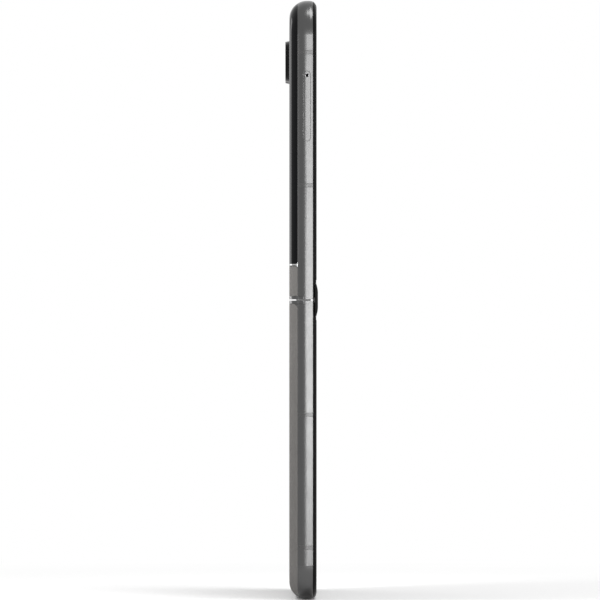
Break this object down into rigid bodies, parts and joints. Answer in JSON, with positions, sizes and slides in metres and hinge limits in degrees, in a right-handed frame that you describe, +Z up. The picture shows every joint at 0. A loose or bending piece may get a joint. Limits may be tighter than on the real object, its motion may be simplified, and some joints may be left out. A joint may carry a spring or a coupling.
{
  "type": "foldable smartphone",
  "caption": "Clamshell smartphone open flat, its display folding across the middle, with a grey leather back, black cover glass, raised cameras and a graphite metal frame.",
  "frame": {"origin": "middle of the bottom end, which holds the charging socket, halfway across the width and the thickness of the body", "axes": "+X across the width, towards the side with the buttons; +Y through the thickness, out of the back, with the display facing -Y; +Z up the length, towards the cameras"},
  "size_m": [0.0743, 0.0094, 0.1713],
  "materials": {
    "frame_metal": "satin graphite, finely blasted",
    "leather": "soft grained, light grey",
    "cover_glass": "glossy black, opaque",
    "bezel_plastic": "fine satin black",
    "guard_rubber": "matte dark grey",
    "screen": "glossy black, switched off",
    "antenna_plastic": "satin, a little darker than the frame",
    "camera_metal": "satin black",
    "lens_glass": "glossy, coated",
    "camera_black": "matte black",
    "flash_diffuser": "pale yellow",
    "spine_metal": "satin graphite",
    "hinge_steel": "brushed",
    "gear_brass": "satin",
    "screw_steel": "dark",
    "port_steel": "satin",
    "circuit_board": "green solder mask",
    "battery_pouch": "matte black wrap",
    "coil_copper": "copper wire, flat wound",
    "flex_film": "amber film",
    "sound_black": "matte black",
    "motor_steel": "bright"
  },
  "bodies": {
    "lower_half": {"lower_frame": "frame_metal", "lower_bezel": "bezel_plastic", "display_lower": "screen", "back_cover": "leather", "lower_battery": "battery_pouch", "charging_coil": "coil_copper", "sub_board": "circuit_board", "usb_port": "port_steel", "loudspeaker": "sound_black", "vibration_motor": "motor_steel", "lower_antenna_breaks": "antenna_plastic", "lower_flex": "flex_film", "lower_hinge_leaves": "hinge_steel", "lower_hinge_shafts": "hinge_steel", "lower_screws": "screw_steel"},
    "spine": {"spine_cover": "spine_metal", "hinge_bases": "hinge_steel", "friction_clips": "hinge_steel", "display_fold": "screen", "fold_guard_left": "guard_rubber", "fold_guard_right": "guard_rubber", "hinge_flex": "flex_film"},
    "idler_lower": {"idler_gears_lower": "gear_brass"},
    "idler_upper": {"idler_gears_upper": "gear_brass"},
    "upper_half": {"upper_frame": "frame_metal", "upper_bezel": "bezel_plastic", "display_upper": "screen", "cover_glass": "cover_glass", "cover_display": "screen", "cover_trim": "frame_metal", "leather_strip": "leather", "camera_rings": "camera_metal", "camera_windows": "lens_glass", "main_camera": "camera_black", "wide_camera": "camera_black", "flash": "flash_diffuser", "front_camera": "camera_black", "earpiece": "sound_black", "main_board": "circuit_board", "board_shields": "port_steel", "upper_battery": "battery_pouch", "tray_reader": "port_steel", "side_switches": "flex_film", "upper_antenna_breaks": "antenna_plastic", "upper_flex": "flex_film", "upper_hinge_leaves": "hinge_steel", "upper_hinge_shafts": "hinge_steel", "upper_screws": "screw_steel"},
    "power_button": {"power_button": "frame_metal"},
    "volume_rocker": {"volume_rocker": "frame_metal"},
    "sim_tray": {"sim_tray": "frame_metal"},
    "eject_rod": {"eject_rod": "port_steel"},
    "tray_ejector": {"tray_ejector": "port_steel"}
  },
  "joints": [
    {"name": "lower_fold", "type": "hinge", "parent": "spine", "child": "lower_half", "pos_m": [0, -0.002, 0.08358], "axis": [-1, 0, 0], "range_deg": [0, 90], "deforming": ["display_fold", "fold_guard_left", "fold_guard_right", "hinge_flex"]},
    {"name": "upper_fold", "type": "hinge", "parent": "spine", "child": "upper_half", "pos_m": [0, -0.002, 0.08772], "axis": [1, 0, 0], "range_deg": [0, 90], "deforming": ["display_fold", "fold_guard_left", "fold_guard_right", "hinge_flex"]},
    {"name": "idler_lower_turn", "type": "hinge", "parent": "spine", "child": "idler_lower", "pos_m": [0, -0.00171, 0.08495], "axis": [1, 0, 0], "range_deg": [0, 90]},
    {"name": "idler_upper_turn", "type": "hinge", "parent": "spine", "child": "idler_upper", "pos_m": [0, -0.00171, 0.08635], "axis": [1, 0, 0], "range_deg": [-90, 0]},
    {"name": "power_press", "type": "slide", "parent": "upper_half", "child": "power_button", "axis": [-1, 0, 0], "range_m": [0, 0.00025], "stiffness_N_per_m": 1500, "springref_m": -0.0004},
    {"name": "volume_rock", "type": "hinge", "parent": "upper_half", "child": "volume_rocker", "pos_m": [0.0358, -0.00153, 0.14605], "axis": [0, 1, 0], "range_deg": [-1, 1], "stiffness_Nm_per_rad": 0.1},
    {"name": "tray_slide", "type": "slide", "parent": "upper_half", "child": "sim_tray", "axis": [-1, 0, 0], "range_m": [0, 0.0135]},
    {"name": "rod_push", "type": "slide", "parent": "upper_half", "child": "eject_rod", "axis": [1, 0, 0], "range_m": [0, 0.0006]},
    {"name": "ejector_turn", "type": "hinge", "parent": "upper_half", "child": "tray_ejector", "pos_m": [-0.01825, -0.00115, 0.14725], "axis": [0, 1, 0], "range_deg": [0, 14]}
  ],
  "couplings": [
    {"joint": "ejector_turn", "follows": "rod_push", "rad_per_m": 400},
    {"joint": "upper_fold", "follows": "lower_fold", "ratio": 1},
    {"joint": "idler_lower_turn", "follows": "lower_fold", "ratio": 1},
    {"joint": "idler_upper_turn", "follows": "lower_fold", "ratio": -1}
  ]
}
